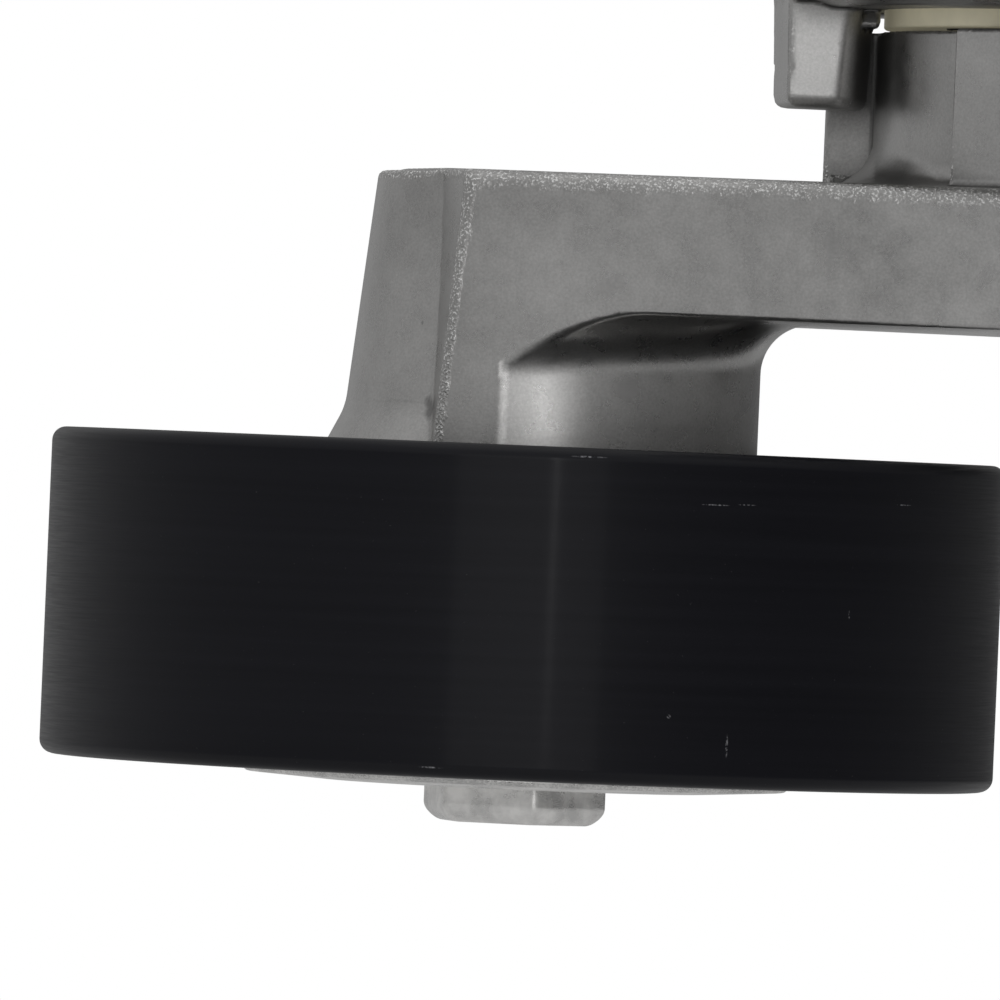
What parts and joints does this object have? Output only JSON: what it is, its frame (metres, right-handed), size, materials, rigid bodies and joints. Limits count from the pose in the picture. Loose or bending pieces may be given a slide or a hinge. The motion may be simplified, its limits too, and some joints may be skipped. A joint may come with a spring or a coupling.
{
  "type": "belt tensioner",
  "caption": "Accessory belt tensioner: a smooth black idler pulley on a sprung cast aluminium arm, which pivots in a cast base with bolt ears and a stop lug.",
  "frame": {"origin": "on the arm's pivot axis, at the face of the base that bolts to the engine", "axes": "+Z along the pivot axis, out of the base and into the engine; the pulley axis is parallel to it at -X with the arm on its free stop; -Y is the side the reference view looks from"},
  "size_m": [0.1485, 0.0986, 0.0983],
  "materials": {
    "cast_aluminium": "die cast and tumbled, satin",
    "machined_steel": "ground",
    "spring_steel": "oiled",
    "zinc_plate": "zinc plated, satin",
    "black_coat": "satin black coat over turned steel",
    "cream_nylon": "moulded nylon",
    "bronze": "sintered",
    "seal_rubber": "moulded",
    "black_plastic": "moulded"
  },
  "bodies": {
    "base": {"base_housing": "cast_aluminium", "locating_pin": "machined_steel", "pivot_shaft": "machined_steel", "retaining_plate": "zinc_plate", "torsion_spring": "spring_steel"},
    "arm": {"arm_casting": "cast_aluminium", "pivot_bushing": "bronze", "upper_thrust_washer": "cream_nylon", "lower_thrust_washer": "cream_nylon", "damping_ring": "cream_nylon", "pivot_cap": "black_plastic", "bearing_inner_ring": "machined_steel", "inner_dust_shield": "zinc_plate", "dust_shield": "zinc_plate", "pulley_bolt": "zinc_plate"},
    "pulley": {"pulley_shell": "black_coat", "bearing_outer_ring": "machined_steel", "outer_seal": "seal_rubber", "inner_seal": "seal_rubber"},
    "ball_set": {"ball_cage": "black_plastic", "bearing_ball_1": "machined_steel", "bearing_ball_2": "machined_steel", "bearing_ball_3": "machined_steel", "bearing_ball_4": "machined_steel", "bearing_ball_5": "machined_steel", "bearing_ball_6": "machined_steel", "bearing_ball_7": "machined_steel", "bearing_ball_8": "machined_steel"}
  },
  "joints": [
    {"name": "arm_pivot", "type": "hinge", "parent": "base", "child": "arm", "pos_m": [0, 0, 0], "axis": [0, 0, 1], "range_deg": [-28, 0], "stiffness_Nm_per_rad": 23, "springref_deg": 24.64, "deforming": ["torsion_spring"]},
    {"name": "pulley_spin", "type": "hinge", "parent": "arm", "child": "pulley", "pos_m": [-0.055, 0, -0.075], "axis": [0, 0, 1], "continuous": true},
    {"name": "cage_spin", "type": "hinge", "parent": "arm", "child": "ball_set", "pos_m": [-0.055, 0, -0.075], "axis": [0, 0, 1], "continuous": true}
  ],
  "couplings": [
    {"joint": "cage_spin", "follows": "pulley_spin", "ratio": 0.61837}
  ]
}
